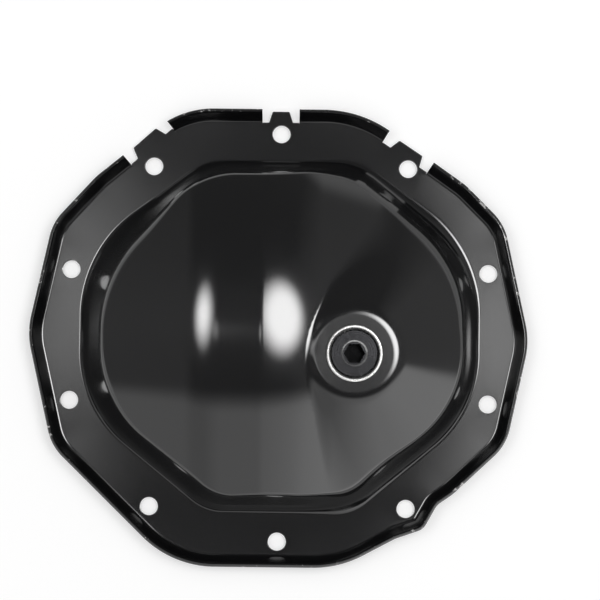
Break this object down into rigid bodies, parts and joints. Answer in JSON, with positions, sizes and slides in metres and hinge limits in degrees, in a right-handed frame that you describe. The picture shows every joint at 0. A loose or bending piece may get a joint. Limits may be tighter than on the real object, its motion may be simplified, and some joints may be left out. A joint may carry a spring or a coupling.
{
  "type": "differential cover",
  "caption": "Domed pressed steel inspection cover for a rear axle, with a raised rim, notched bolt tabs and a screwed fill plug.",
  "frame": {"origin": "middle of the bolt pattern in the gasket face's plane", "axes": "+X along the axle, towards the fill port's side; +Y up when mounted; +Z out of the axle housing, the way the dome bulges"},
  "size_m": [0.2776, 0.2554, 0.06],
  "materials": {
    "black_paint": "semi-gloss",
    "bright_steel": "machined",
    "dark_steel": "satin",
    "seal_rubber": "matte"
  },
  "bodies": {
    "root": {"cover_shell": "black_paint", "fill_port_bushing": "bright_steel", "fill_plug": "dark_steel", "plug_seal": "seal_rubber"}
  },
  "joints": []
}
